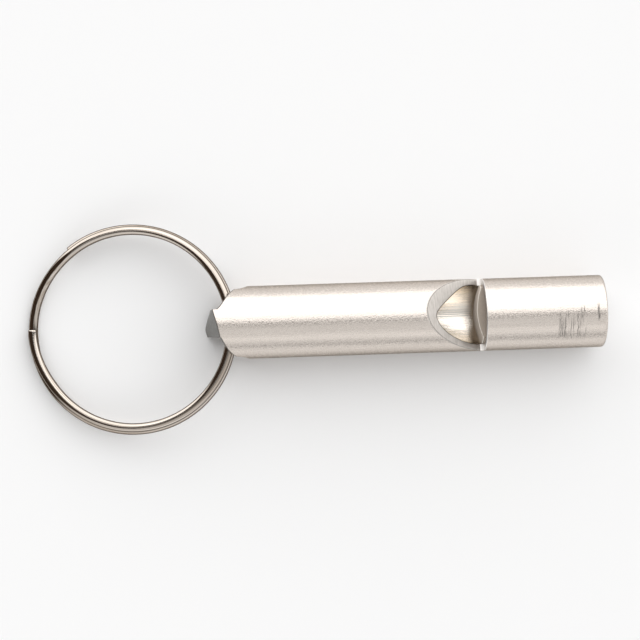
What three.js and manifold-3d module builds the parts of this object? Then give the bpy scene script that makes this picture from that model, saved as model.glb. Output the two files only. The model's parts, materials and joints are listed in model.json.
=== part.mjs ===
// A survival whistle: a length of aluminium tube with a plug in each end and a split ring.
// Millimetres, +Z up. The tube lies along X with the mouth at +X and the sound window up.
// The far side of the ring lies on the ground, so the ring slopes down from the tail.
import * as THREE from 'three';
import { mergeVertices } from 'three/addons/utils/BufferGeometryUtils.js';
import Module from 'manifold-3d';

const wasm = await Module();
wasm.setup();

// Tube
const bodyLength = 55;
const tubeDiameter = 10;
const tubeWall = 0.9;
const mouthRound = 0.4;

// Sound window, measured back from the mouth and turned a little from square to the eye
const windwayLength = 16.7;
const windowLength = 8.2;
const windowFlat = 0.55;
const windowDepth = 5;
const windowTurn = 8.6;

// Fipple plug: its domed inner end reaches a little way into the window
const windwayHeight = 2;
const plugReach = 1.2;
const plugDome = 0.9;
const plugChamfer = 0.15;

// Tail: a rounded nose milled on both sides down to a tongue, and a cross hole for the ring
const tailPlugLength = 16;
const noseLength = 5.5;
const noseRun = 3.7;
const noseOvershoot = 0.05;
const tongueWidth = 3.8;
const eyeDiameter = 3.8;
const eyeFromTip = 4;

// The tongue is sawn off a little askew, and its far corner is nicked
const sawFromTip = 0.6;
const sawTilt = 15;
const sawLean = 9.7;
const nickFromTip = 0.22;
const nickTilt = 18.6;

// Split ring of flattened wire, wound just under two turns
const ringDiameter = 29;
const wireWidth = 1.25;
const wireThickness = 0.9;
const wireRound = 0.25;
const coilGap = 0.45;
const frontEndAngle = 178;
const backEndAngle = 127;

// The wire lies towards the tip in its eye, and the ring hangs a little to one side
const wireSlack = 0.3;
const ringTurn = 1.6;

// Fits and facets
const plugClearance = 0.05;
const cutMargin = 3;
const roundSegments = 100;
const ringSteps = 150;

const tubeRadius = tubeDiameter / 2;
const boreRadius = tubeRadius - tubeWall;
const plugRadius = boreRadius - plugClearance;
const axisHeight = tubeRadius;
const radians = Math.PI / 180;

const windowCut = bodyLength - windwayLength;
const windowStart = windowCut - windowLength;

// The ring turns about its wire in the eye and slopes until its far side touches the ground.
const wireFromTip = eyeFromTip - wireSlack;
const ringRadius = (ringDiameter - wireWidth) / 2;
const coilPitch = wireThickness + coilGap;
const ringReach = 2 * ringRadius + wireWidth / 2;
const ringHalfHeight = (coilPitch + wireThickness) / 2;
const ringSlope = Math.asin(axisHeight / Math.hypot(ringReach, ringHalfHeight))
  - Math.atan(ringHalfHeight / ringReach);
const ringLeft = wireFromTip - ringReach * Math.cos(ringSlope) + ringHalfHeight * Math.sin(ringSlope);
const middleX = (bodyLength + ringLeft) / 2;

// Turn a three geometry into a solid that can be cut and joined.
function toSolid(geometry) {
  const bare = geometry.index ? geometry.toNonIndexed() : geometry.clone();
  bare.deleteAttribute('normal');
  bare.deleteAttribute('uv');
  const merged = mergeVertices(bare, 1e-5);
  return new wasm.Manifold(new wasm.Mesh({
    numProp: 3,
    vertProperties: new Float32Array(merged.attributes.position.array),
    triVerts: new Uint32Array(merged.index.array),
  }));
}

function toGeometry(solid) {
  const mesh = solid.getMesh();
  const geometry = new THREE.BufferGeometry();
  geometry.setAttribute('position', new THREE.Float32BufferAttribute(mesh.vertProperties, 3));
  geometry.setIndex(Array.from(mesh.triVerts));
  return geometry;
}

// A round bar or tube along X on the tube's axis. Profile points are (radius, distance from the tail).
function turned(profile) {
  const geometry = new THREE.LatheGeometry(profile, roundSegments);
  geometry.rotateZ(-Math.PI / 2);
  geometry.translate(0, 0, axisHeight);
  return toSolid(geometry);
}

// A flat outline as thick as asked, drawn along X and upright from the tube's axis.
// It is centred on the tube's middle plane and can be turned about the axis towards +Y.
function slab(shape, thickness, turn = 0) {
  const geometry = new THREE.ExtrudeGeometry(shape, {
    depth: thickness,
    bevelEnabled: false,
    curveSegments: 24,
  });
  geometry.translate(0, 0, -thickness / 2);
  geometry.rotateX(Math.PI / 2 - turn * radians);
  geometry.translate(0, 0, axisHeight);
  return toSolid(geometry);
}

function outline(points) {
  return new THREE.Shape(points.map(([x, z]) => new THREE.Vector2(x, z)));
}

function finishPiece(name, geometry, color, roughness) {
  geometry.translate(-middleX, 0, 0);
  const flat = geometry.index ? geometry.toNonIndexed() : geometry;
  flat.computeVertexNormals();
  const material = new THREE.MeshStandardMaterial({ color, roughness, metalness: 1 });
  const piece = new THREE.Mesh(flat, material);
  piece.name = name;
  return piece;
}

// What the tail keeps: the tongue, then the rounded nose, then the full width of the tube.
function tailKeep() {
  const halfTongue = tongueWidth / 2;
  const noseHalf = tubeRadius + noseOvershoot;
  const rootAngle = Math.asin(halfTongue / noseHalf);
  const shape = new THREE.Shape();
  shape.moveTo(-cutMargin, -halfTongue);
  shape.absellipse(noseLength, 0, noseRun, noseHalf, Math.PI + rootAngle, Math.PI * 1.5, false);
  shape.lineTo(noseLength, -tubeRadius - cutMargin);
  shape.lineTo(bodyLength + cutMargin, -tubeRadius - cutMargin);
  shape.lineTo(bodyLength + cutMargin, tubeRadius + cutMargin);
  shape.lineTo(noseLength, tubeRadius + cutMargin);
  shape.absellipse(noseLength, 0, noseRun, noseHalf, Math.PI / 2, Math.PI - rootAngle, false);
  shape.lineTo(-cutMargin, halfTongue);
  return slab(shape, tubeDiameter + 2 * cutMargin, 90);
}

// A block that takes off everything behind a slanted plane through the axis.
function sawBlock(fromTip, tilt, lean) {
  const size = tubeDiameter + 2 * cutMargin;
  const geometry = new THREE.BoxGeometry(size, size, size);
  geometry.translate(-size / 2, 0, 0);
  geometry.rotateY(lean * radians);
  geometry.rotateZ(tilt * radians);
  geometry.translate(fromTip, 0, axisHeight);
  return toSolid(geometry);
}

function cutTail(solid) {
  const eyeShape = new THREE.Shape();
  eyeShape.absarc(eyeFromTip, 0, eyeDiameter / 2, 0, Math.PI * 2, false);
  const eye = slab(eyeShape, tubeDiameter + 2 * cutMargin);
  return solid
    .intersect(tailKeep())
    .subtract(sawBlock(sawFromTip, sawTilt, sawLean))
    .subtract(sawBlock(nickFromTip, -nickTilt, 0))
    .subtract(eye);
}

// Whistle tube: drawn tube with a rounded mouth, a sloped window on top and a shaped tail.
// The slope of the window ends in a short level floor beside its square end.
function buildTube() {
  const rim = new THREE.Path();
  rim.moveTo(boreRadius, -cutMargin);
  rim.lineTo(tubeRadius, -cutMargin);
  rim.lineTo(tubeRadius, bodyLength - mouthRound);
  rim.absarc(tubeRadius - mouthRound, bodyLength - mouthRound, mouthRound, 0, Math.PI / 2, false);
  rim.lineTo(boreRadius, bodyLength);
  rim.lineTo(boreRadius, -cutMargin);
  const tube = turned(rim.getPoints(6));

  const rampRun = (windowLength - windowFlat) / windowDepth;
  const window = slab(outline([
    [windowStart - cutMargin * rampRun, tubeRadius + cutMargin],
    [windowCut - windowFlat, tubeRadius - windowDepth],
    [windowCut, tubeRadius - windowDepth],
    [windowCut, tubeRadius + cutMargin],
  ]), tubeDiameter + cutMargin, windowTurn);
  return cutTail(tube.subtract(window));
}

// Fipple plug: a round bar with a flat along the top, which leaves the windway open.
// Its inner end is a shallow dome, which falls back with the square of the radius.
function buildFipplePlug() {
  const plugStart = windowCut - plugReach;
  const dome = [];
  for (let step = 0; step <= 10; step += 1) {
    const share = step / 10;
    dome.push(new THREE.Vector2(plugRadius * share, plugStart + plugDome * share * share));
  }
  const bar = turned([
    ...dome,
    new THREE.Vector2(plugRadius, bodyLength - plugChamfer),
    new THREE.Vector2(plugRadius - plugChamfer, bodyLength),
    new THREE.Vector2(0, bodyLength),
  ]);
  const flatHeight = boreRadius - windwayHeight;
  const flat = slab(outline([
    [plugStart - cutMargin, flatHeight],
    [bodyLength + cutMargin, flatHeight],
    [bodyLength + cutMargin, tubeRadius + cutMargin],
    [plugStart - cutMargin, tubeRadius + cutMargin],
  ]), tubeDiameter + cutMargin, windowTurn);
  return bar.subtract(flat);
}

// Tail plug: a round bar that shuts the chamber, shaped and drilled together with the tube.
function buildTailPlug() {
  const bar = turned([
    new THREE.Vector2(0, -cutMargin),
    new THREE.Vector2(plugRadius, -cutMargin),
    new THREE.Vector2(plugRadius, tailPlugLength - plugChamfer),
    new THREE.Vector2(plugRadius - plugChamfer, tailPlugLength),
    new THREE.Vector2(0, tailPlugLength),
  ]);
  return cutTail(bar);
}

// The wire's middle line: once round on the upper coil, across, and round again on the lower coil.
class RingPath extends THREE.Curve {
  getPoint(share, target = new THREE.Vector3()) {
    const first = frontEndAngle;
    const last = backEndAngle + 720;
    const angle = first + (last - first) * share;
    const crossStart = backEndAngle + 360;
    const crossEnd = frontEndAngle + 360;
    const drop = THREE.MathUtils.smoothstep(angle, crossStart, crossEnd);
    return target.set(
      ringRadius * Math.cos(angle * radians) - ringRadius,
      ringRadius * Math.sin(angle * radians),
      coilPitch * (0.5 - drop),
    );
  }
}

// Least distance between two turns of the wire, measured from points on their facing surfaces.
function leastCoilGap(path) {
  const count = 720;
  const points = path.getPoints(count);
  const turn = Math.round(count * 180 / (backEndAngle + 720 - frontEndAngle));
  let least = Infinity;
  for (let i = 0; i < count; i += 1) {
    for (let j = i + turn; j <= count; j += 1) {
      const rise = Math.abs(points[i].z - points[j].z) - wireThickness;
      const along = Math.hypot(points[i].x - points[j].x, points[i].y - points[j].y);
      if (along < wireWidth) {
        least = Math.min(least, rise);
      }
    }
  }
  return least;
}

// Split ring: flattened wire, rounded at its edges, carried along the path and hung in the eye.
function buildRing() {
  const halfThick = wireThickness / 2;
  const halfWide = wireWidth / 2;
  const section = new THREE.Shape();
  section.moveTo(halfThick, -halfWide + wireRound);
  section.absarc(halfThick - wireRound, halfWide - wireRound, wireRound, 0, Math.PI / 2, false);
  section.absarc(-halfThick + wireRound, halfWide - wireRound, wireRound, Math.PI / 2, Math.PI, false);
  section.absarc(-halfThick + wireRound, -halfWide + wireRound, wireRound, Math.PI, Math.PI * 1.5, false);
  section.absarc(halfThick - wireRound, -halfWide + wireRound, wireRound, Math.PI * 1.5, Math.PI * 2, false);
  const path = new RingPath();
  const geometry = new THREE.ExtrudeGeometry(section, {
    steps: ringSteps,
    curveSegments: 1,
    bevelEnabled: false,
    extrudePath: path,
  });
  geometry.rotateY(-ringSlope);
  geometry.rotateZ(ringTurn * radians);
  geometry.translate(wireFromTip, 0, axisHeight);
  console.log(`least gap between the ring's turns: ${leastCoilGap(path).toFixed(2)} mm`);
  return toSolid(geometry);
}

console.log(`wire turns at x ${(wireFromTip - middleX).toFixed(3)}, z ${axisHeight.toFixed(3)} mm`);
console.log(`middle of the part is ${middleX.toFixed(3)} mm from the tail tip`);
console.log(`ring slope ${(ringSlope / radians).toFixed(2)} degrees`);

const whistle = new THREE.Group();
whistle.name = 'survival_whistle';
whistle.add(finishPiece('whistle_tube', toGeometry(buildTube()), 0xc9c3bb, 0.36));
whistle.add(finishPiece('fipple_plug', toGeometry(buildFipplePlug()), 0xb4ada3, 0.42));
whistle.add(finishPiece('tail_plug', toGeometry(buildTailPlug()), 0xa8a39b, 0.42));
whistle.add(finishPiece('split_ring', toGeometry(buildRing()), 0xd2cdc4, 0.16));

export default whistle;
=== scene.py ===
import json
import math
import bmesh
import bpy
import numpy as np
from mathutils import Matrix, Vector


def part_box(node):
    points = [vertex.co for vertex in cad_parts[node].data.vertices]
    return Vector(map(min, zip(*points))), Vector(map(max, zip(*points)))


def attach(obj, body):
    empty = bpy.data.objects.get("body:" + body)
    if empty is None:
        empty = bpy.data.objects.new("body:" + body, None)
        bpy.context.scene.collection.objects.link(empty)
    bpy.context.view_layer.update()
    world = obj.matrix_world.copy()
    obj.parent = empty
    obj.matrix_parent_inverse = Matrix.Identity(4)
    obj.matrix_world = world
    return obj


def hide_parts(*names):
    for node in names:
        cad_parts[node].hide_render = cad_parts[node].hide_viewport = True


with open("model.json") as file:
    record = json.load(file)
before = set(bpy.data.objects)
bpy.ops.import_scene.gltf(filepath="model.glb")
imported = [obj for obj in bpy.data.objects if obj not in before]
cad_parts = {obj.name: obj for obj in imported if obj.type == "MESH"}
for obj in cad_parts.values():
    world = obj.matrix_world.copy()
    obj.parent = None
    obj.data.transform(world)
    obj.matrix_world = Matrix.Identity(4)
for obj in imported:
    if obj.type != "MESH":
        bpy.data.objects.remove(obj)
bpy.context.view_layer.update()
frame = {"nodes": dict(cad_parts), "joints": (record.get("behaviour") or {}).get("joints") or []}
mm = 0.001
sharpAngle = math.radians(28)   # edges that bend more than this are drawn sharp
print("frame loaded:", sorted(frame["nodes"]))

# places taken from the frame: the tube's size, the height of its axis and the point the ring turns about
tubeLow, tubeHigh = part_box("whistle_tube")
axisZ = (tubeLow.z + tubeHigh.z) / 2 / mm
pivot = np.array(frame["joints"][0]["pos_m"]) / mm

# lengths in these sets of values are in millimetres, and angles in degrees
body = {
    "length": 55.0,
    "radius": (tubeHigh.z - tubeLow.z) / 2 / mm,
    "wall": 0.9,
    "mouthRound": 0.4,
    "windway": 16.7,
    "windowLength": 8.2,
    "windowFlat": 0.55,     # level floor of the cut, beside its square end
    "windowTurn": 8.6,      # the window is cut this far from square to the eye
    "edgeAcross": 0.07,     # broken edges of the cuts, across the wall
    "edgeAlong": 0.1,       # and along the tube
    "edgeFade": 0.05,       # they fade at the window's corners, over this share of a quarter turn
    "lipEdge": 1.6,         # the lip's edge is broken this many times as far across
    "burrTurn": 68.0,       # the cutter left a straight lip inside the window, over this angle
    "burrBlend": 18.0,      # how tightly the lip runs into the bore at its ends
    "tongueColumns": 30, "noseColumns": 90,
}
tail = {
    "noseLength": 5.5, "noseRun": 3.7, "noseHalf": 5.05, "tongue": 3.8,
    "sawFromTip": 0.6, "sawTilt": 15.0, "sawLean": 9.7, "nickFromTip": 0.22, "nickTilt": 18.6,
    "tipRound": 0.3, "tipOut": 0.12, "rootLeft": 0.6, "rootRight": 0.16, "rootRun": 0.6,
    "eyeFromTip": 4.0, "eye": 3.8, "drillHalf": 8.0, "drillColumns": 96,
    "barLength": 16.0, "barFit": 0.02, "barChamfer": 0.18,
    "barTongueColumns": 31, "barSideColumns": 40, "barRows": 25,
}
tailX = tubeHigh.x / mm - body["length"]
bore = body["radius"] - body["wall"]
cutX = body["length"] - body["windway"]


def placed(points):
    # points along the tube, across it and above its axis, moved into the frame and into metres
    return (points + np.array([tailX, 0.0, axisZ])) * mm


def gridQuads(rows, cols, start=0, wrapRows=False, wrapCols=True):
    # four corners of every cell of a grid of points that is stored row by row
    r = np.arange(rows if wrapRows else rows - 1)
    c = np.arange(cols if wrapCols else cols - 1)
    r, c = np.meshgrid(r, c, indexing="ij")
    r2, c2 = (r + 1) % rows, (c + 1) % cols
    quads = np.stack([r * cols + c, r * cols + c2, r2 * cols + c2, r2 * cols + c], -1)
    return quads.reshape(-1, 4) + start


def ease(share):
    # from nothing to one with level ends: three times the square less twice the cube
    share = np.clip(share, 0, 1)
    return share * share * (3 - 2 * share)


def meshPiece(name, points, quads, finishes, slots=None, side=None):
    # a mesh of points and faces, welded where points meet, with its faces turned outward
    mesh = bpy.data.meshes.new(name)
    mesh.from_pydata(points.tolist(), [], quads.tolist())
    for finish in finishes:
        mesh.materials.append(finish)
    if slots is not None:
        mesh.polygons.foreach_set("material_index", slots.astype(np.int32))
    if side is not None:
        mesh.attributes.new("side", "FLOAT", "POINT").data.foreach_set("value", side.astype(np.float32))
    weld = bmesh.new()
    weld.from_mesh(mesh)
    bmesh.ops.remove_doubles(weld, verts=weld.verts, dist=1e-7)
    bmesh.ops.dissolve_degenerate(weld, edges=weld.edges, dist=1e-8)
    bmesh.ops.recalc_face_normals(weld, faces=weld.faces)
    openEdges = sum(1 for e in weld.edges if len(e.link_faces) != 2)
    weld.to_mesh(mesh)
    weld.free()
    mesh.shade_smooth()
    mesh.set_sharp_from_angle(angle=sharpAngle)
    piece = bpy.data.objects.new(name, mesh)
    bpy.context.scene.collection.objects.link(piece)
    print(name, len(mesh.polygons), "faces,", openEdges, "open edges")
    return piece


def newFinish(name):
    finish = bpy.data.materials.new(name)
    finish.use_nodes = True
    tree = finish.node_tree
    return finish, tree, tree.nodes["Principled BSDF"]


def streaks(tree, scale, detail, vector=None):
    # noise in the object's own space, drawn out by a scale for each axis: a low one makes long lines
    mapping = tree.nodes.new("ShaderNodeMapping")
    mapping.inputs["Scale"].default_value = scale
    noise = tree.nodes.new("ShaderNodeTexNoise")
    noise.inputs["Scale"].default_value = 1.0
    noise.inputs["Detail"].default_value = detail
    noise.inputs["Roughness"].default_value = 0.6
    if vector is None:
        vector = tree.nodes.new("ShaderNodeTexCoord").outputs["Object"]
    tree.links.new(vector, mapping.inputs["Vector"])
    tree.links.new(mapping.outputs["Vector"], noise.inputs["Vector"])
    return noise.outputs["Fac"]


def spread(tree, value, low, high, fromLow=0.3, fromHigh=0.7):
    # a value between two limits, drawn out to lie between two others
    node = tree.nodes.new("ShaderNodeMapRange")
    node.inputs["From Min"].default_value = fromLow
    node.inputs["From Max"].default_value = fromHigh
    node.inputs["To Min"].default_value = low
    node.inputs["To Max"].default_value = high
    tree.links.new(value, node.inputs["Value"])
    return node.outputs["Result"]


def tint(tree, factor, first, second):
    # a colour that goes from the first to the second, where the first may come from another node
    mix = tree.nodes.new("ShaderNodeMix")
    mix.data_type = "RGBA"
    tree.links.new(factor, mix.inputs["Factor"])
    if isinstance(first, tuple):
        mix.inputs["A"].default_value = (*first, 1)
    else:
        tree.links.new(first, mix.inputs["A"])
    mix.inputs["B"].default_value = (*second, 1)
    return mix.outputs["Result"]


def relief(tree, height, strength, distance, below=None):
    bump = tree.nodes.new("ShaderNodeBump")
    bump.inputs["Strength"].default_value = strength
    bump.inputs["Distance"].default_value = distance
    tree.links.new(height, bump.inputs["Height"])
    if below is not None:
        tree.links.new(below, bump.inputs["Normal"])
    return bump.outputs["Normal"]


def combine(tree, operation, first, second):
    node = tree.nodes.new("ShaderNodeMath")
    node.operation = operation
    for socket, value in zip(node.inputs, (first, second)):
        if isinstance(value, (int, float)):
            socket.default_value = value
        else:
            tree.links.new(value, socket)
    return node.outputs["Value"]


def band(tree, value, low, high, soft):
    # one between two values and nothing outside, with soft edges
    away = combine(tree, "ABSOLUTE", combine(tree, "SUBTRACT", value, (low + high) / 2), 0)
    half = (high - low) / 2
    return spread(tree, away, 1.0, 0.0, half - soft, half + soft)


def levelReach(tree, parts):
    # distance from the upright axis: the root of the sum of the squares of x and y
    squares = [combine(tree, "MULTIPLY", parts.outputs[k], parts.outputs[k]) for k in ("X", "Y")]
    return combine(tree, "SQRT", combine(tree, "ADD", *squares), 0)


# In the finishes, noise has a scale for each axis and its detail, and relief has a strength and a
# distance in metres.
satinSet = {
    "dark": (0.68, 0.615, 0.56), "pale": (0.79, 0.72, 0.66), "edge": (0.4, 0.38, 0.35),
    "smooth": 0.15, "rough": 0.36, "mottle": (0.35, 0.65),
    "lines": ((60.0, 9000.0, 9000.0), 4.0), "lineRelief": (0.3, 0.00001),
    "speck": ((3200.0, 6400.0, 6400.0), 1.5), "speckRelief": (1.0, 0.000021),
    # lines round the tube near the mouth: how far from it they start, and over what length
    "turned": ((7000.0, 60.0, 60.0), 3.0), "turnedRelief": (0.6, 0.000014),
    "turnedFrom": 6.6, "turnedFade": 0.4,
    # scuffs near the mouth: distance from the mouth, half width, from and to across the tube, depth
    "scuffs": [
        (6.55, 0.09, -3.3, 0.0, 0.85), (6.28, 0.08, -3.3, -1.0, 0.6), (5.95, 0.09, -3.3, -0.7, 0.75),
        (4.6, 0.06, -1.9, -0.3, 0.4), (4.2, 0.08, -3.3, -0.1, 0.75), (3.92, 0.06, -1.7, 0.0, 0.45),
        (3.7, 0.09, -1.0, 0.6, 0.85), (3.3, 0.09, -0.4, 0.6, 0.85), (1.32, 0.13, -1.1, 1.0, 0.95),
    ],
    "scuffColour": (0.13, 0.12, 0.11), "scuffRough": 0.2, "scuffSoft": 0.6, "scuffEnds": 0.3,
    "wander": ((900.0, 1600.0, 1600.0), 2.0), "wanderBy": 0.09,
    "broken": ((6000.0, 900.0, 900.0), 3.0), "brokenTo": (0.2, 1.25, 0.35, 0.65),
    # fine scratches round the tube: nearest and farthest from the mouth, across from and to, depth
    "scratches": (3.1, 6.8, -3.6, 0.1, 0.75),
    "scratch": ((7500.0, 380.0, 380.0), 2.0), "scratchFrom": (0.53, 0.68), "scratchSoft": (0.2, 0.4),
    "upperFade": 1.0,       # all of these fade in over this height above the axis
}


def scuffMask(tree, parts):
    # the scuffs and scratches together, broken by noise, on the upper half of the tube alone
    mouth = (tailX + body["length"]) * mm
    wanderBy = satinSet["wanderBy"] * mm
    wander = spread(tree, streaks(tree, *satinSet["wander"]), -wanderBy, wanderBy)
    alongTube = combine(tree, "ADD", parts.outputs["X"], wander)
    total = 0.0
    for fromMouth, half, low, high, depth in satinSet["scuffs"]:
        place, half = mouth - fromMouth * mm, half * mm
        inX = band(tree, alongTube, place - half, place + half, half * satinSet["scuffSoft"])
        inY = band(tree, parts.outputs["Y"], low * mm, high * mm, satinSet["scuffEnds"] * mm)
        mark = combine(tree, "MULTIPLY", combine(tree, "MULTIPLY", inX, inY), depth)
        total = combine(tree, "MAXIMUM", total, mark)
    broken = spread(tree, streaks(tree, *satinSet["broken"]), *satinSet["brokenTo"])
    total = combine(tree, "MULTIPLY", total, broken)
    nearest, farthest, low, high, depth = satinSet["scratches"]
    softX, softY = satinSet["scratchSoft"]
    inX = band(tree, parts.outputs["X"], mouth - farthest * mm, mouth - nearest * mm, softX * mm)
    inY = band(tree, parts.outputs["Y"], low * mm, high * mm, softY * mm)
    fine = spread(tree, streaks(tree, *satinSet["scratch"]), 0.0, depth, *satinSet["scratchFrom"])
    fine = combine(tree, "MULTIPLY", combine(tree, "MULTIPLY", inX, inY), fine)
    upperFrom, upperTo = axisZ * mm, (axisZ + satinSet["upperFade"]) * mm
    upper = spread(tree, parts.outputs["Z"], 0.0, 1.0, upperFrom, upperTo)
    return combine(tree, "MULTIPLY", combine(tree, "MAXIMUM", total, fine), upper)


def satinFinish():
    # drawn aluminium: lines along the tube, specks all over, turned lines and scuffs near the mouth
    finish, tree, shader = newFinish("satin_drawn_aluminium")
    coords = tree.nodes.new("ShaderNodeTexCoord")
    parts = tree.nodes.new("ShaderNodeSeparateXYZ")
    tree.links.new(coords.outputs["Object"], parts.inputs["Vector"])
    lines, speck, turned = (streaks(tree, *satinSet[k]) for k in ("lines", "speck", "turned"))
    start = (tailX + body["length"] - satinSet["turnedFrom"]) * mm
    mouthZone = spread(tree, parts.outputs["X"], 0.0, 1.0, start, start + satinSet["turnedFade"] * mm)
    scuffs = scuffMask(tree, parts)
    shader.inputs["Metallic"].default_value = 1.0
    shader.inputs["Specular Tint"].default_value = (*satinSet["edge"], 1)
    mottle = combine(tree, "MULTIPLY", combine(tree, "ADD", lines, speck), 0.5)
    mottle = spread(tree, mottle, 0.0, 1.0, *satinSet["mottle"])
    colour = tint(tree, mottle, satinSet["dark"], satinSet["pale"])
    tree.links.new(tint(tree, scuffs, colour, satinSet["scuffColour"]), shader.inputs["Base Color"])
    rough = spread(tree, speck, satinSet["smooth"], satinSet["rough"])
    scuffed = combine(tree, "MULTIPLY", scuffs, satinSet["scuffRough"])
    tree.links.new(combine(tree, "ADD", rough, scuffed), shader.inputs["Roughness"])
    grain = relief(tree, speck, *satinSet["speckRelief"])
    grain = relief(tree, lines, *satinSet["lineRelief"], grain)
    turned = combine(tree, "MULTIPLY", turned, mouthZone)
    tree.links.new(relief(tree, turned, *satinSet["turnedRelief"], grain), shader.inputs["Normal"])
    return finish


# a milled cut, with fine lines across the tube
sawnSet = {
    "dark": (0.44, 0.408, 0.375), "pale": (0.665, 0.627, 0.594), "contrast": (0.3, 0.7),
    "metal": 1.0, "gloss": 0.5, "smooth": 0.38, "rough": 0.6,
    "lines": ((5200.0, 700.0, 3000.0), 4.0), "relief": (0.7, 0.00003),
}
# drawn lines along the bore, which spread reflections across it alone
boreSet = {
    "dark": (0.82, 0.76, 0.68), "pale": (0.97, 0.91, 0.83), "contrast": (0.0, 1.0),
    "metal": 1.0, "gloss": 0.5, "smooth": 0.09, "rough": 0.15,
    "lines": ((25.0, 12000.0, 12000.0), 2.0), "relief": (1.0, 0.000022),
}
# the tail's sawn end, its colour painted dark as the shade it lies in
tailShadeSet = {
    "dark": (0.13, 0.124, 0.114), "pale": (0.215, 0.207, 0.192), "contrast": (0.0, 1.0),
    "metal": 1.0, "gloss": 0.5, "smooth": 0.3, "rough": 0.5,
    "lines": ((3500.0, 3500.0, 3500.0), 3.0), "relief": (0.3, 0.00001),
}
# the fipple's bar and its inner face, dull from turning
plugSet = {
    **tailShadeSet, "dark": (0.41, 0.35, 0.295), "pale": (0.5, 0.43, 0.365),
    "metal": 0.0, "gloss": 0.0, "smooth": 0.6, "rough": 0.8,
}
# the inner face: the bar's finish painted paler, as the light that falls on it through the window
plugFaceLitSet = {**plugSet, "dark": (0.63, 0.55, 0.475), "pale": (0.72, 0.63, 0.545)}


def linedFinish(name, values):
    # one noise gives the colour between dark and pale, the roughness and the relief
    finish, tree, shader = newFinish(name)
    lines = streaks(tree, *values["lines"])
    shader.inputs["Metallic"].default_value = values["metal"]
    shader.inputs["Specular IOR Level"].default_value = values["gloss"]
    shade = spread(tree, lines, 0.0, 1.0, *values["contrast"])
    tree.links.new(tint(tree, shade, values["dark"], values["pale"]), shader.inputs["Base Color"])
    tree.links.new(spread(tree, lines, values["smooth"], values["rough"]), shader.inputs["Roughness"])
    tree.links.new(relief(tree, lines, *values["relief"]), shader.inputs["Normal"])
    return finish


nickelSet = {
    "dark": (0.38, 0.31, 0.245), "pale": (0.82, 0.755, 0.69), "edge": (0.3, 0.25, 0.2),
    # side: a near-black colour painted as shade on the wire's inner and outer faces and between its turns
    "side": (0.1, 0.078, 0.06), "sideShadeFrom": (0.0, 0.85, 0.58, 0.86), "smooth": 0.04, "rough": 0.09,
    "lines": ((5200.0, 5200.0, 60.0), 3.0), "lineRelief": (0.5, 0.00001),
    "specks": ((5000.0, 5000.0, 5000.0), 3.0), "speckRelief": (0.35, 0.000008),
}


def nickelFinish(centre, rotation):
    # drawn lines run round the wire's circle: noise by the distance from the ring's axis and along it
    finish, tree, shader = newFinish("polished_nickel")
    local = tree.nodes.new("ShaderNodeMapping")
    local.vector_type = "TEXTURE"
    local.inputs["Location"].default_value = centre
    local.inputs["Rotation"].default_value = rotation
    tree.links.new(tree.nodes.new("ShaderNodeTexCoord").outputs["Object"], local.inputs["Vector"])
    parts = tree.nodes.new("ShaderNodeSeparateXYZ")
    tree.links.new(local.outputs["Vector"], parts.inputs["Vector"])
    lane = tree.nodes.new("ShaderNodeCombineXYZ")
    tree.links.new(levelReach(tree, parts), lane.inputs["X"])
    tree.links.new(parts.outputs["Z"], lane.inputs["Y"])
    tree.links.new(parts.outputs["X"], lane.inputs["Z"])
    lines = streaks(tree, *nickelSet["lines"], lane.outputs["Vector"])
    specks = streaks(tree, *nickelSet["specks"])
    shader.inputs["Metallic"].default_value = 1.0
    shader.inputs["Specular Tint"].default_value = (*nickelSet["edge"], 1)
    colour = tint(tree, spread(tree, lines, 0.0, 1.0), nickelSet["dark"], nickelSet["pale"])
    # the side attribute lays painted shade on the wire's inner and outer faces
    sides = tree.nodes.new("ShaderNodeAttribute")
    sides.attribute_name = "side"
    paintedSideShade = spread(tree, sides.outputs["Fac"], *nickelSet["sideShadeFrom"])
    tree.links.new(tint(tree, paintedSideShade, colour, nickelSet["side"]), shader.inputs["Base Color"])
    rough = spread(tree, specks, nickelSet["smooth"], nickelSet["rough"])
    tree.links.new(rough, shader.inputs["Roughness"])
    grain = relief(tree, lines, *nickelSet["lineRelief"])
    tree.links.new(relief(tree, specks, *nickelSet["speckRelief"], grain), shader.inputs["Normal"])
    return finish


def plainFinish(name, colour, metal, rough, gloss=0.5):
    finish, _, shader = newFinish(name)
    shader.inputs["Metallic"].default_value = metal
    shader.inputs["Base Color"].default_value = (*colour, 1)
    shader.inputs["Roughness"].default_value = rough
    shader.inputs["Specular IOR Level"].default_value = gloss
    return finish


satin = satinFinish()
sawn = linedFinish("sawn_aluminium", sawnSet)
boreSatin = linedFinish("drawn_bore", boreSet)
plugBar = linedFinish("turned_plug", plugSet)
# the plug's inner face, painted paler as lit
plugFaceLit = linedFinish("plug_face_painted_light", plugFaceLitSet)
# the tail's end faces and its eye, painted dark as shade
tailShadeFinish = linedFinish("sawn_tail_painted_shade", tailShadeSet)
# a pale line painted on the rounded edge of the plug's inner face, as its highlight
plugEdgeHighlight = plainFinish("plug_edge_painted_highlight", colour=(0.97, 0.91, 0.83), metal=0.0, rough=0.7)
# a near-black colour painted on the broken edges of the window's cut and of the lip, as the shade there
edgeShade = plainFinish("cut_edge_painted_shade", colour=(0.17, 0.145, 0.12), metal=1.0, rough=0.6)
fresh = plainFinish("fresh_cut", colour=(0.86, 0.83, 0.8), metal=1.0, rough=0.45)
print("finishes made")


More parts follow.
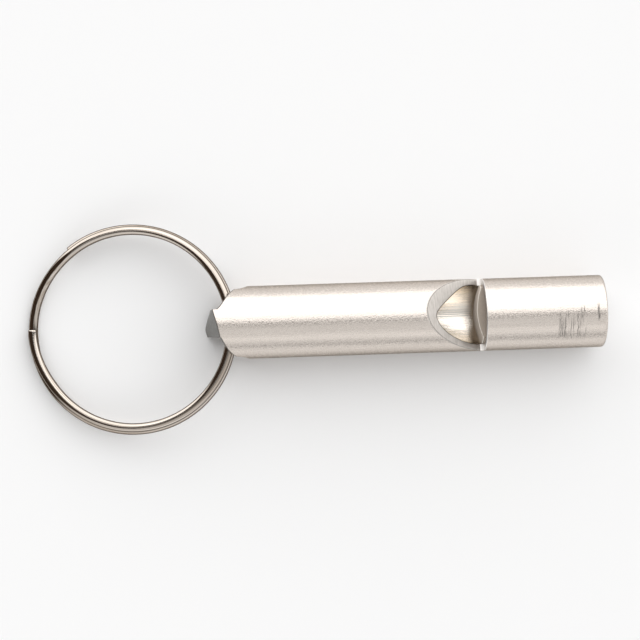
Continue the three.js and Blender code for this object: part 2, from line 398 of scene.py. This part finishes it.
def tailCut(y, z, onTongue):
    # Distance from the tail at which the tail's shape meets a point across and above the axis: on the
    # tongue the later of a slanted saw plane and a nick plane, blended by the root of the sum of squares
    # of their difference and a length, elsewhere a quarter ellipse in y less a root beside the tongue,
    # which falls off as an exponential of the distance from it.
    tilt, lean, nick = (math.radians(tail[k]) for k in ("sawTilt", "sawLean", "nickTilt"))
    saw = tail["sawFromTip"] - math.tan(tilt) * y + math.tan(lean) / math.cos(tilt) * z
    nicked = tail["nickFromTip"] + math.tan(nick) * y
    share = np.clip(np.abs(y) / tail["noseHalf"], 0, 1)
    nose = tail["noseLength"] - tail["noseRun"] * np.sqrt(1 - share * share)
    root = np.where(y > 0, tail["rootLeft"], tail["rootRight"])
    nose = nose - root * np.exp(-np.maximum(np.abs(y) - tail["tongue"] / 2, 0) / tail["rootRun"])
    tip = (saw + nicked + np.sqrt((saw - nicked) ** 2 + tail["tipRound"] ** 2)) / 2 - tail["tipOut"]
    return np.where(onTongue, tip, nose)


tubeColumns = 2 * (body["tongueColumns"] + body["noseColumns"])


def tailAngles(rho):
    # Column angles at the tail. Both sides of the tongue have two columns at one angle, where the
    # tongue's side rises from the nose, and the columns between are spaced evenly.
    edge = math.asin(tail["tongue"] / 2 / rho)
    onTongue, onNose = body["tongueColumns"], body["noseColumns"]
    angle = np.concatenate([
        np.linspace(-edge, edge, onTongue),
        np.linspace(edge, np.pi - edge, onNose),
        np.linspace(np.pi - edge, np.pi + edge, onTongue),
        np.linspace(np.pi + edge, 2 * np.pi - edge, onNose),
    ])
    flags = np.repeat([True, False, True, False], [onTongue, onNose, onTongue, onNose])
    fromCut = -edge + np.pi / 2 - math.radians(body["windowTurn"])
    return angle, flags, round(fromCut / (2 * np.pi) * tubeColumns)


# what a strip of the tube between two rows is
kind = {"outside": 0, "slope": 1, "bore": 2, "mouth": 3, "square": 4, "tail": 5, "edgeShade": 6, "floor": 7}


def stripKinds(rowKinds):
    # a strip has the kind of its first row, or of its second where that leaves the outside or the bore
    smooth = (kind["outside"], kind["bore"])
    after = np.roll(rowKinds, -1)
    return np.where(np.isin(rowKinds, smooth) & ~np.isin(after, smooth), after, rowKinds)


def makeTube():
    # Each column is two closed loops down the wall: one from the tail to the window, one from the
    # window to the mouth. Points are radius times sine and cosine of the column's angle. Beside the
    # window the loops meet and their inner ends are left out, so the wall is one closed skin. Both
    # sides of the window have two columns at one angle, with the level floor of the cut between.
    r1, r0, count = body["radius"], bore, tubeColumns
    shift = tailAngles(r1)[2]
    inner = count // 2 - 1
    column = np.arange(count)
    u = np.concatenate([np.linspace(-1, 1, inner), np.linspace(1, 3, count - inner)])
    inside = column < inner
    cutAngle = math.radians(body["windowTurn"]) + u * np.pi / 2
    # broken edges fade to nothing at the two corners of the window
    fade = np.where(inside, np.clip((1 - np.abs(u)) / body["edgeFade"], 0, 1), 0.0)
    ea, el = body["edgeAcross"], body["edgeAlong"]
    # the lip is the chord of the bore between the window's middle and the burr's end, blended with the
    # bore by the sum of high negative powers of both radii
    halfBurr, blendPower = math.radians(body["burrTurn"]) / 2, body["burrBlend"]
    chord = r0 * math.cos(halfBurr) / np.maximum(np.cos(u * np.pi / 2 - halfBurr), 0.1)
    lip = np.where(inside, (chord ** -blendPower + r0 ** -blendPower) ** (-1 / blendPower), r0)
    quarter = np.linspace(0, np.pi / 2, 4)
    mouthQuarter = np.linspace(0, np.pi / 2, 9)
    steps = np.array([0.0, 0.01, 0.03, 0.07, 0.15, 0.3, 0.5, 0.7, 0.85, 0.95, 0.99, 1.0])
    wallSteps = (0.3, 0.7)
    rows, kinds = [], []

    def atTail(rho):
        # angle and distance of the tail's end for every column
        angle, flags, _ = tailAngles(rho)
        angle = np.roll(angle, shift)
        angle = np.where(angle - cutAngle > np.pi, angle - 2 * np.pi, angle)
        flags = np.roll(flags, shift)
        return angle, tailCut(rho * np.sin(angle), rho * np.cos(angle), flags)

    def atWindow(rho):
        # distance at which the window's slope meets the wall; a level floor joins it to the square end
        drop = r1 - rho * np.cos(u * np.pi / 2)
        run = (body["windowLength"] - body["windowFlat"]) / r1
        return np.where(inside, cutX - body["windowLength"] + drop * run, cutX)

    def addRow(rho, angle, x, name):
        # one ring of points at a radius and a distance from the tail
        rho, x = np.broadcast_to(rho, u.shape), np.broadcast_to(x, u.shape)
        rows.append(np.stack([x, rho * np.sin(angle), rho * np.cos(angle)], -1))
        kinds.append(kind[name])

    def addWall(rho, t, name):
        # the wall between tail and window, a share t of the way along
        angle, x = atTail(rho)
        x = (x + el) * (1 - t) + (atWindow(rho) - el * fade) * t
        addRow(rho, angle * (1 - t) + cutAngle * t, x, name)

    def addCut(rho, back, name):
        # a row on the window's slope, or back from it towards the tail
        addRow(rho, cutAngle, atWindow(rho) - back, name)

    def addEnd(rho, back, name):
        # a row on the tail's end, or back from it towards the mouth
        angle, x = atTail(rho)
        addRow(rho, angle, x + back, name)

    # loop from tail to window
    for t in steps:
        addWall(r1, t, "outside")
    # the middle strip of the outer edge's rounding is painted dark as shade
    for q, name in zip(quarter[1:], ("slope", "edgeShade", "slope")):
        addCut(r1 - ea * fade * (1 - np.cos(q)), el * fade * (1 - np.sin(q)), name)
    lipEdge = body["lipEdge"] * ea * fade
    for s in wallSteps:
        addCut(r1 - ea * fade - (r1 - lip - ea * fade - lipEdge) * s, 0.0, "slope")
    # the rounding into the lip is painted dark as shade
    for q in quarter[::-1]:
        addCut(lip + lipEdge * (1 - np.cos(q)), el * fade * (1 - np.sin(q)), "edgeShade")
    for t in steps[::-1]:
        addWall(r0, t, "bore")
    for q in quarter[1:]:
        addEnd(r0 + ea * (1 - np.cos(q)), el * (1 - np.sin(q)), "tail")
    for s in wallSteps:
        addEnd(r0 + ea + (r1 - r0 - 2 * ea) * s, 0.0, "tail")
    for q in quarter[::-1][:-1]:
        addEnd(r1 - ea * (1 - np.cos(q)), el * (1 - np.sin(q)), "tail")
    rowsA = len(rows)

    # loop from window to mouth
    mouth, mr = body["length"], body["mouthRound"]
    for t in steps:
        addRow(r1, cutAngle, (cutX + el * fade) * (1 - t) + (mouth - mr) * t, "outside")
    for q in mouthQuarter[1:]:
        addRow(r1 - mr * (1 - np.cos(q)), cutAngle, mouth - mr * (1 - np.sin(q)), "outside")
    addRow((r1 - mr + r0 + ea) / 2, cutAngle, mouth, "mouth")
    for q in quarter[::-1]:
        addRow(r0 + ea * (1 - np.cos(q)), cutAngle, mouth - ea * (1 - np.sin(q)), "mouth")
    for t in steps[::-1][1:]:
        addRow(r0, cutAngle, (cutX + el * fade) * (1 - t) + (mouth - ea) * t, "bore")
    for q in quarter[1:]:
        addRow(r0 + ea * fade * (1 - np.cos(q)), cutAngle, cutX + el * fade * (1 - np.sin(q)), "square")
    for s in wallSteps:
        addRow(r0 + ea * fade + (r1 - r0 - 2 * ea * fade) * s, cutAngle, cutX, "square")
    for q in quarter[::-1][:-1]:
        addRow(r1 - ea * fade * (1 - np.cos(q)), cutAngle, cutX + el * fade * (1 - np.sin(q)), "square")

    quads = np.concatenate([
        gridQuads(rowsA, count, 0, wrapRows=True),
        gridQuads(len(rows) - rowsA, count, rowsA * count, wrapRows=True),
    ])
    cellKinds = np.repeat(np.concatenate([stripKinds(kinds[:rowsA]), stripKinds(kinds[rowsA:])]), count)
    slopes = (kind["slope"], kind["edgeShade"])
    cellInside = np.tile(inside | (column == count - 1), len(rows))
    keep = cellInside | ~np.isin(cellKinds, (*slopes, kind["square"]))
    level = np.tile(np.isin(column, (inner - 1, count - 1)), len(rows))
    cellKinds[level & np.isin(cellKinds, slopes)] = kind["floor"]
    finishes = [satin, sawn, boreSatin, tailShadeFinish, edgeShade, fresh]
    ofKind = [satin, sawn, boreSatin, sawn, fresh, tailShadeFinish, edgeShade, fresh]
    slots = np.choose(cellKinds[keep], [finishes.index(finish) for finish in ofKind])
    piece = meshPiece("tube_skin", placed(np.concatenate(rows)), quads[keep], finishes, slots)
    return drillEye(piece, sawn)


def drillEye(piece, finish):
    # The cross hole: a round bar along y, taken out of a piece, and the bar is thrown away.
    half, columns = tail["drillHalf"], tail["drillColumns"]
    angle = np.linspace(0, 2 * np.pi, columns, endpoint=False)
    rows = []
    for across, share in ((-half, 0), (-half, 1), (half, 1), (half, 0)):
        radius = tail["eye"] / 2 * share
        x = tail["eyeFromTip"] + radius * np.cos(angle)
        rows.append(np.stack([x, np.full_like(x, across), radius * np.sin(angle)], -1))
    drill = meshPiece("drill", placed(np.concatenate(rows)), gridQuads(len(rows), columns), [finish])
    cut = piece.modifiers.new("eye", "BOOLEAN")
    cut.operation, cut.solver, cut.object = "DIFFERENCE", "EXACT", drill
    cut.material_mode = "TRANSFER"
    bpy.context.view_layer.update()
    shaped = bpy.data.meshes.new_from_object(piece.evaluated_get(bpy.context.evaluated_depsgraph_get()))
    piece.modifiers.clear()
    old, piece.data = piece.data, shaped
    shaped.name = piece.name
    bpy.data.meshes.remove(old)
    bpy.data.meshes.remove(drill.data)
    shaped.set_sharp_from_angle(angle=sharpAngle)
    print(piece.name, "drilled,", len(shaped.polygons), "faces")
    return piece


tube = makeTube()
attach(tube, "whistle")
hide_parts("whistle_tube")

fipple = {
    "fit": 0.05, "flatDrop": 2.0, "reach": 1.2, "dome": 0.9, "round": 0.09, "chamfer": 0.15,
    "corner": 70.0,         # how tightly the flat turns into the round
    "columns": 160, "faceRows": 8,
}


def makeFipple():
    # Radius by angle is the smaller of a circle and a flat, blended by a high power, and it is carried
    # along the tube to a closed face at each end. The inner face is a shallow dome, which falls back
    # with the square of the radius, and a quarter circle rounds its edge. The mouth face has a chamfer.
    angle = np.linspace(0, 2 * np.pi, fipple["columns"], endpoint=False)
    turned = angle + math.radians(body["windowTurn"])
    circle, flat = bore - fipple["fit"], bore - fipple["flatDrop"]
    cosine = np.maximum(np.cos(angle), 1e-3)
    power = fipple["corner"]
    radius = (circle ** -power + (flat / cosine) ** -power) ** (-1 / power)
    bend, c = fipple["round"], fipple["chamfer"]
    start, end = cutX - fipple["reach"], body["length"]
    shares = np.linspace(0, 1, fipple["faceRows"])
    # each station: distance from the tail, share of the radius, inset, and whether the dome moves it
    stations = [(start, s, bend, True) for s in shares]
    for q in np.radians([10, 25, 40, 55, 70, 90]):
        stations.append((start + bend * (1 - math.cos(q)), 1.0, bend * (1 - math.sin(q)), True))
    stations += [(start + (end - start) * s, 1.0, 0.0, False) for s in (0.1, 0.3, 0.7, 0.97)]
    stations += [(end - c, 1.0, 0.0, False), (end - c * 0.5, 1.0, c * 0.15, False)]
    stations += [(end, s, c, False) for s in shares[::-1]]
    rows = []
    for x, share, inset, domed in stations:
        r = (radius - inset) * share
        back = fipple["dome"] * (r / circle) ** 2 if domed else np.zeros_like(r)
        rows.append(np.stack([x + back, r * np.sin(turned), r * np.cos(turned)], -1))
    strip = np.arange(len(rows) - 1) - len(shares)
    # slot 2 is the inner face, slot 1 the first four strips of its rounding, where the highlight is painted
    # as a pale line, and slot 0 the bar
    slots = np.where(strip < 0, 2, np.where(strip < 4, 1, 0))
    # the chamfer and the face at the mouth are sawn with the tube
    slots[-len(shares) - 1:] = 3
    slots = np.repeat(slots, len(angle))
    quads = gridQuads(len(rows), len(angle))
    finishes = [plugBar, plugEdgeHighlight, plugFaceLit, sawn]
    return meshPiece("fipple_bar", placed(np.concatenate(rows)), quads, finishes, slots)


fippleBar = makeFipple()
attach(fippleBar, "whistle")
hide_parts("fipple_plug")


def makeTailBar():
    # The tail end is a grid over stations across the bar, at each of which points run from the top of
    # the round to its bottom. The round side starts at that grid's rim and is carried to a flat inner end.
    r, c = bore - tail["barFit"], tail["barChamfer"]
    edge = math.asin(tail["tongue"] / 2 / r)
    onTongue, onSide = tail["barTongueColumns"], tail["barSideColumns"]
    angle = np.concatenate([
        np.linspace(-np.pi / 2, -edge, onSide),
        np.linspace(-edge, edge, onTongue),
        np.linspace(edge, np.pi / 2, onSide),
    ])
    flags = np.repeat([False, True, False], [onSide, onTongue, onSide])
    down = np.linspace(1, -1, tail["barRows"])
    y = np.repeat((r * np.sin(angle))[:, None], len(down), 1)
    z = (r * np.cos(angle))[:, None] * down
    cap = np.stack([tailCut(y, z, flags[:, None]), y, z], -1)
    capQuads = gridQuads(len(angle), len(down), wrapCols=False)
    rim = np.concatenate([cap[:, 0], cap[-2:0:-1, -1]])
    end = tail["barLength"]
    rows = []
    for t in (0.0, 0.02, 0.1, 0.5, 0.9, 1.0):
        rows.append(np.stack([rim[:, 0] * (1 - t) + (end - c) * t, rim[:, 1], rim[:, 2]], -1))
    for share in np.linspace(1, 0, 6):
        scale = share * (r - c) / r
        rows.append(np.stack([np.full(len(rim), end), rim[:, 1] * scale, rim[:, 2] * scale], -1))
    sideQuads = gridQuads(len(rows), len(rim), len(angle) * len(down))
    points = np.concatenate([cap.reshape(-1, 3), *rows])
    piece = meshPiece("tail_bar", placed(points), np.concatenate([capQuads, sideQuads]), [tailShadeFinish])
    return drillEye(piece, tailShadeFinish)


tailBar = makeTailBar()
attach(tailBar, "whistle")
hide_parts("tail_plug")

ring = {
    "centre": 13.78,        # from the eye to the ring's middle
    "upper": 13.606, "lower": 13.926, "width": 1.242, "thick": 0.96, "gap": 0.02,
    "round": 2.6,           # power of the section's outline: 2 is an ellipse, more is squarer
    "frontEnd": 178.3, "backEnd": 127.0,
    "shift": (-0.06, -0.275), "lowerShift": (-0.162, -0.077), "turn": 0.49,
    # how far the ends stand out, and over what angle
    "frontFlare": 0.4, "frontRun": 40.0, "backFlare": 0.05, "backRun": 45.0,
    # rows that close an end: how far along the wire, and the section's share there
    "endSteps": (0.0, 0.0, 0.05, 0.12), "endSizes": (0.0, 0.86, 0.95, 1.0), "endGap": 0.3,
    "steps": 560, "around": 36,
}


def makeRing():
    # A rounded flat section carried round two turns: the upper turn, a smooth crossing, the lower
    # turn, which has sprung open a little. The section's half sizes go radially and along the axis,
    # times a power of the cosine and the sine of an angle.
    mid = ring["centre"]
    pitch = ring["thick"] + ring["gap"]
    first, last = ring["frontEnd"], ring["backEnd"] + 720
    crossA, crossB = ring["backEnd"] + 360, ring["frontEnd"] + 360
    endTurn = np.array(ring["endSteps"]) / (np.pi / 180 * mid)
    front, back = first + endTurn, last - endTurn[::-1]
    middle = np.linspace(front[-1] + ring["endGap"], back[0] - ring["endGap"], ring["steps"])
    turn = np.concatenate([front, middle, back])
    size = np.concatenate([ring["endSizes"], np.ones(ring["steps"]), ring["endSizes"][::-1]])[:, None]
    drop = ease((turn - crossA) / (crossB - crossA))
    flare = ring["backFlare"] * ease((turn - last + ring["backRun"]) / ring["backRun"])
    flare = flare + ring["frontFlare"] * ease((first + ring["frontRun"] - turn) / ring["frontRun"])
    wire = ring["upper"] + (ring["lower"] - ring["upper"]) * drop + flare
    section = np.linspace(0, 2 * np.pi, ring["around"], endpoint=False)
    power = 2 / ring["round"]
    across = np.sign(np.cos(section)) * np.abs(np.cos(section)) ** power * ring["width"] / 2
    along = np.sign(np.sin(section)) * np.abs(np.sin(section)) ** power * ring["thick"] / 2
    angle, drop = np.radians(turn)[:, None], drop[:, None]
    (shiftX, shiftY), (lowerX, lowerY) = ring["shift"], ring["lowerShift"]
    radius = wire[:, None] + across * size
    x = radius * np.cos(angle) - mid + lowerX * drop + shiftX
    y = radius * np.sin(angle) + lowerY * drop + shiftY
    z = pitch * (0.5 - drop) + along * size
    # the ring slopes about its wire in the eye until its far side is on the ground
    reach = mid + ring["lower"] + ring["width"] / 2 - shiftX - lowerX
    half = (pitch + ring["thick"]) / 2
    slope = math.asin(axisZ / math.hypot(reach, half)) - math.atan(half / reach)
    level, up = x * math.cos(slope) - z * math.sin(slope), x * math.sin(slope) + z * math.cos(slope)
    # and it is turned a little about the upright
    yaw = math.radians(ring["turn"])
    cosYaw, sinYaw = math.cos(yaw), math.sin(yaw)
    points = np.stack([level * cosYaw - y * sinYaw, level * sinYaw + y * cosYaw, up], -1)
    points = (points.reshape(-1, 3) + pivot) * mm
    flat = mid * math.cos(slope)
    centre = pivot - np.array([flat * cosYaw, flat * sinYaw, mid * math.sin(slope)])
    nickel = nickelFinish(centre * mm, (0.0, -slope, yaw))
    # the colour is painted darker as shade where the section faces inward or outward, on the wire's edges
    # and the gap between its turns
    side = np.tile(np.abs(np.cos(section)), len(turn))
    return meshPiece("ring_wire", points, gridQuads(len(turn), len(section)), [nickel], side=side)


ringWire = makeRing()
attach(ringWire, "ring")
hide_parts("split_ring")

stageSet = {
    # the floor's size is in metres
    "floorSize": 6.0, "floorColour": (0.92, 0.92, 0.92), "floorRough": 0.9, "floorGloss": 0.1,
    # brightness of the surround, by degrees from overhead towards +Y
    "surround": [
        (-90, 0.5), (-83, 0.5), (-77, 0.6), (-70, 0.8), (-62, 0.97), (-55, 1.12), (-48, 1.0), (-42, 0.76),
        (-35, 0.76), (-26, 0.84), (-18, 0.8), (-12, 0.7), (-7, 0.55), (-4, 0.34), (-2.5, 0.14), (0.5, 0.14),
        (2.5, 1.5), (11, 1.68), (20, 1.72), (45, 1.78), (70, 1.75), (85, 1.9), (90, 1.95),
    ],
    # the dark card: degrees about the upright from -X towards +Y, and how far from overhead it starts,
    # as the sine of the angle
    "cardFrom": -33.0, "cardTo": 30.0, "cardSoft": 4.0, "cardLow": 0.24, "cardHigh": 0.36,
    "cardColour": (0.025, 0.017, 0.012),
}


def makeFloor():
    # one flat square, worked out as a grid of two by two points
    half = stageSet["floorSize"] / 2
    a, b = np.meshgrid([-half, half], [-half, half], indexing="ij")
    points = np.stack([a, b, np.zeros_like(a)], -1).reshape(-1, 3)
    mesh = bpy.data.meshes.new("floor")
    mesh.from_pydata(points.tolist(), [], [[0, 2, 3, 1]])
    mesh.materials.append(plainFinish(
        "pale_floor", stageSet["floorColour"], 0.0, stageSet["floorRough"], stageSet["floorGloss"],
    ))
    floor = bpy.data.objects.new("floor", mesh)
    bpy.context.scene.collection.objects.link(floor)


makeFloor()


def makeWorld():
    # A soft surround: its brightness goes by the angle about the tube's length, bright on one side and
    # dim on the other with one thin strip, and a dark card stands behind the tail.
    world = bpy.data.worlds.new("studio")
    bpy.context.scene.world = world
    world.use_nodes = True
    tree = world.node_tree
    coords = tree.nodes.new("ShaderNodeTexCoord")
    parts = tree.nodes.new("ShaderNodeSeparateXYZ")
    tree.links.new(coords.outputs["Generated"], parts.inputs["Vector"])
    angle = combine(tree, "ARCTAN2", parts.outputs["Y"], parts.outputs["Z"])
    share = spread(tree, angle, 0.0, 1.0, -math.pi / 2, math.pi / 2)
    ramp = tree.nodes.new("ShaderNodeValToRGB")
    tree.links.new(share, ramp.inputs["Fac"])
    stops = stageSet["surround"]
    brightest = max(bright for _, bright in stops)
    elements = ramp.color_ramp.elements
    for k, (degrees, bright) in enumerate(stops):
        place = (degrees + 90) / 180
        element = elements[0] if k == 0 else elements.new(place)
        element.position = place
        element.color = (*[bright / brightest] * 3, 1)
    # the ramp's own white stop is still there, after the last
    elements.remove(elements[-1])
    toTail = combine(tree, "MULTIPLY", parts.outputs["X"], -1.0)
    around = combine(tree, "ARCTAN2", parts.outputs["Y"], toTail)
    limits = [math.radians(stageSet[k]) for k in ("cardFrom", "cardTo", "cardSoft")]
    card = combine(
        tree, "MULTIPLY", band(tree, around, *limits),
        spread(tree, levelReach(tree, parts), 0.0, 1.0, stageSet["cardLow"], stageSet["cardHigh"]),
    )
    colour = tint(tree, card, ramp.outputs["Color"], stageSet["cardColour"])
    background = tree.nodes["Background"]
    tree.links.new(colour, background.inputs["Color"])
    background.inputs["Strength"].default_value = brightest


makeWorld()

# camera: long lens, looking steeply down from the tail side; the focal length is in pixels of a picture
# this wide, and the scale in pixels to the millimetre
shot = {
    "focal": 2200.0, "picture": 640, "scale": 7.25, "target": (15.75, 0.0), "imageUp": 0.08,
    "towardTail": 3.38, "towardFront": 0.0, "turn": 1.89, "sensor": 36.0,
}


def makeCamera():
    # three axes of the camera: back along its view, right and up, the last two turned about the view
    yaw, pitch, turn = (math.radians(shot[k]) for k in ("towardTail", "towardFront", "turn"))
    back = Vector((-math.sin(yaw) * math.cos(pitch), -math.sin(pitch), math.cos(yaw) * math.cos(pitch)))
    right = Vector((0, 1, 0)).cross(back).normalized()
    up = back.cross(right)
    right, up = right * math.cos(turn) - up * math.sin(turn), right * math.sin(turn) + up * math.cos(turn)
    target = Vector((tailX + shot["target"][0], shot["target"][1], axisZ)) * mm
    target += up * shot["imageUp"] / shot["scale"] * mm
    camera = bpy.data.cameras.new("camera")
    camera.sensor_width = shot["sensor"]
    camera.lens = shot["sensor"] * shot["focal"] / shot["picture"]
    camera.clip_start, camera.clip_end = 0.01, 20.0
    holder = bpy.data.objects.new("camera", camera)
    bpy.context.scene.collection.objects.link(holder)
    place = target + back * shot["focal"] / shot["scale"] * mm
    holder.matrix_world = Matrix((
        (right.x, up.x, back.x, place.x),
        (right.y, up.y, back.y, place.y),
        (right.z, up.z, back.z, place.z),
        (0, 0, 0, 1),
    ))
    bpy.context.scene.camera = holder


makeCamera()
bpy.context.scene.view_settings.view_transform = "Standard"
print("stage, surround and camera set")
